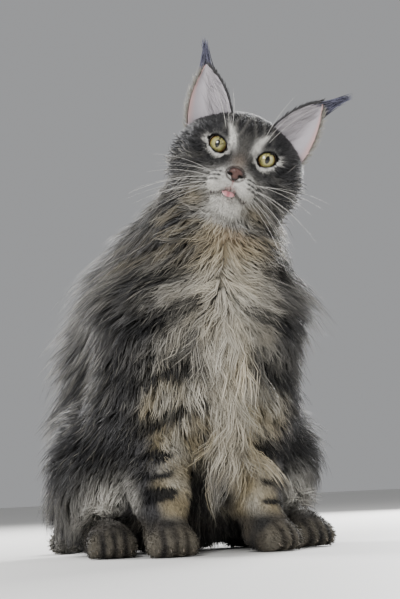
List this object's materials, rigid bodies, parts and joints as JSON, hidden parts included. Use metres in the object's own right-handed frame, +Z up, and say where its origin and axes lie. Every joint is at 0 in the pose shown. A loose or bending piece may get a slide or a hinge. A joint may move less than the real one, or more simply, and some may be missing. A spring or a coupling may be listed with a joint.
{
  "type": "maine coon kitten, sitting, life-size display model",
  "caption": "Life-size sitting long-haired silver tabby kitten, head tilted and tongue tip out, tail laid on the floor behind it.",
  "frame": {"origin": "middle of the flat under the rump, on the floor that the kitten sits on", "axes": "+Z up, the kitten faces -Y, +X is its left side"},
  "size_m": [0.2332, 0.3534, 0.3953],
  "materials": {
    "coat_slate": "matte",
    "coat_grey": "matte",
    "coat_cream": "matte",
    "ear_skin": "matte",
    "eye": "gloss",
    "nose_leather": "satin",
    "tongue": "satin"
  },
  "bodies": {
    "root": {"head": "coat_slate", "hind_paw_right": "coat_grey", "hind_paw_left": "coat_grey", "forepaw_right": "coat_grey", "forepaw_left": "coat_grey", "forearm_right": "coat_grey", "forearm_left": "coat_grey", "upper_arm_right": "coat_slate", "upper_arm_left": "coat_slate", "hind_foot_right": "coat_grey", "hind_foot_left": "coat_grey", "thigh_right": "coat_grey", "thigh_left": "coat_grey", "neck": "coat_grey", "chest": "coat_cream", "tail_base": "coat_slate", "tail_middle": "coat_grey", "tail_tip": "coat_slate", "rump": "coat_grey", "belly": "coat_grey", "ear_right": "ear_skin", "ear_left": "ear_skin", "eye_right": "eye", "eye_left": "eye", "nose": "nose_leather", "tongue": "tongue"}
  },
  "joints": []
}
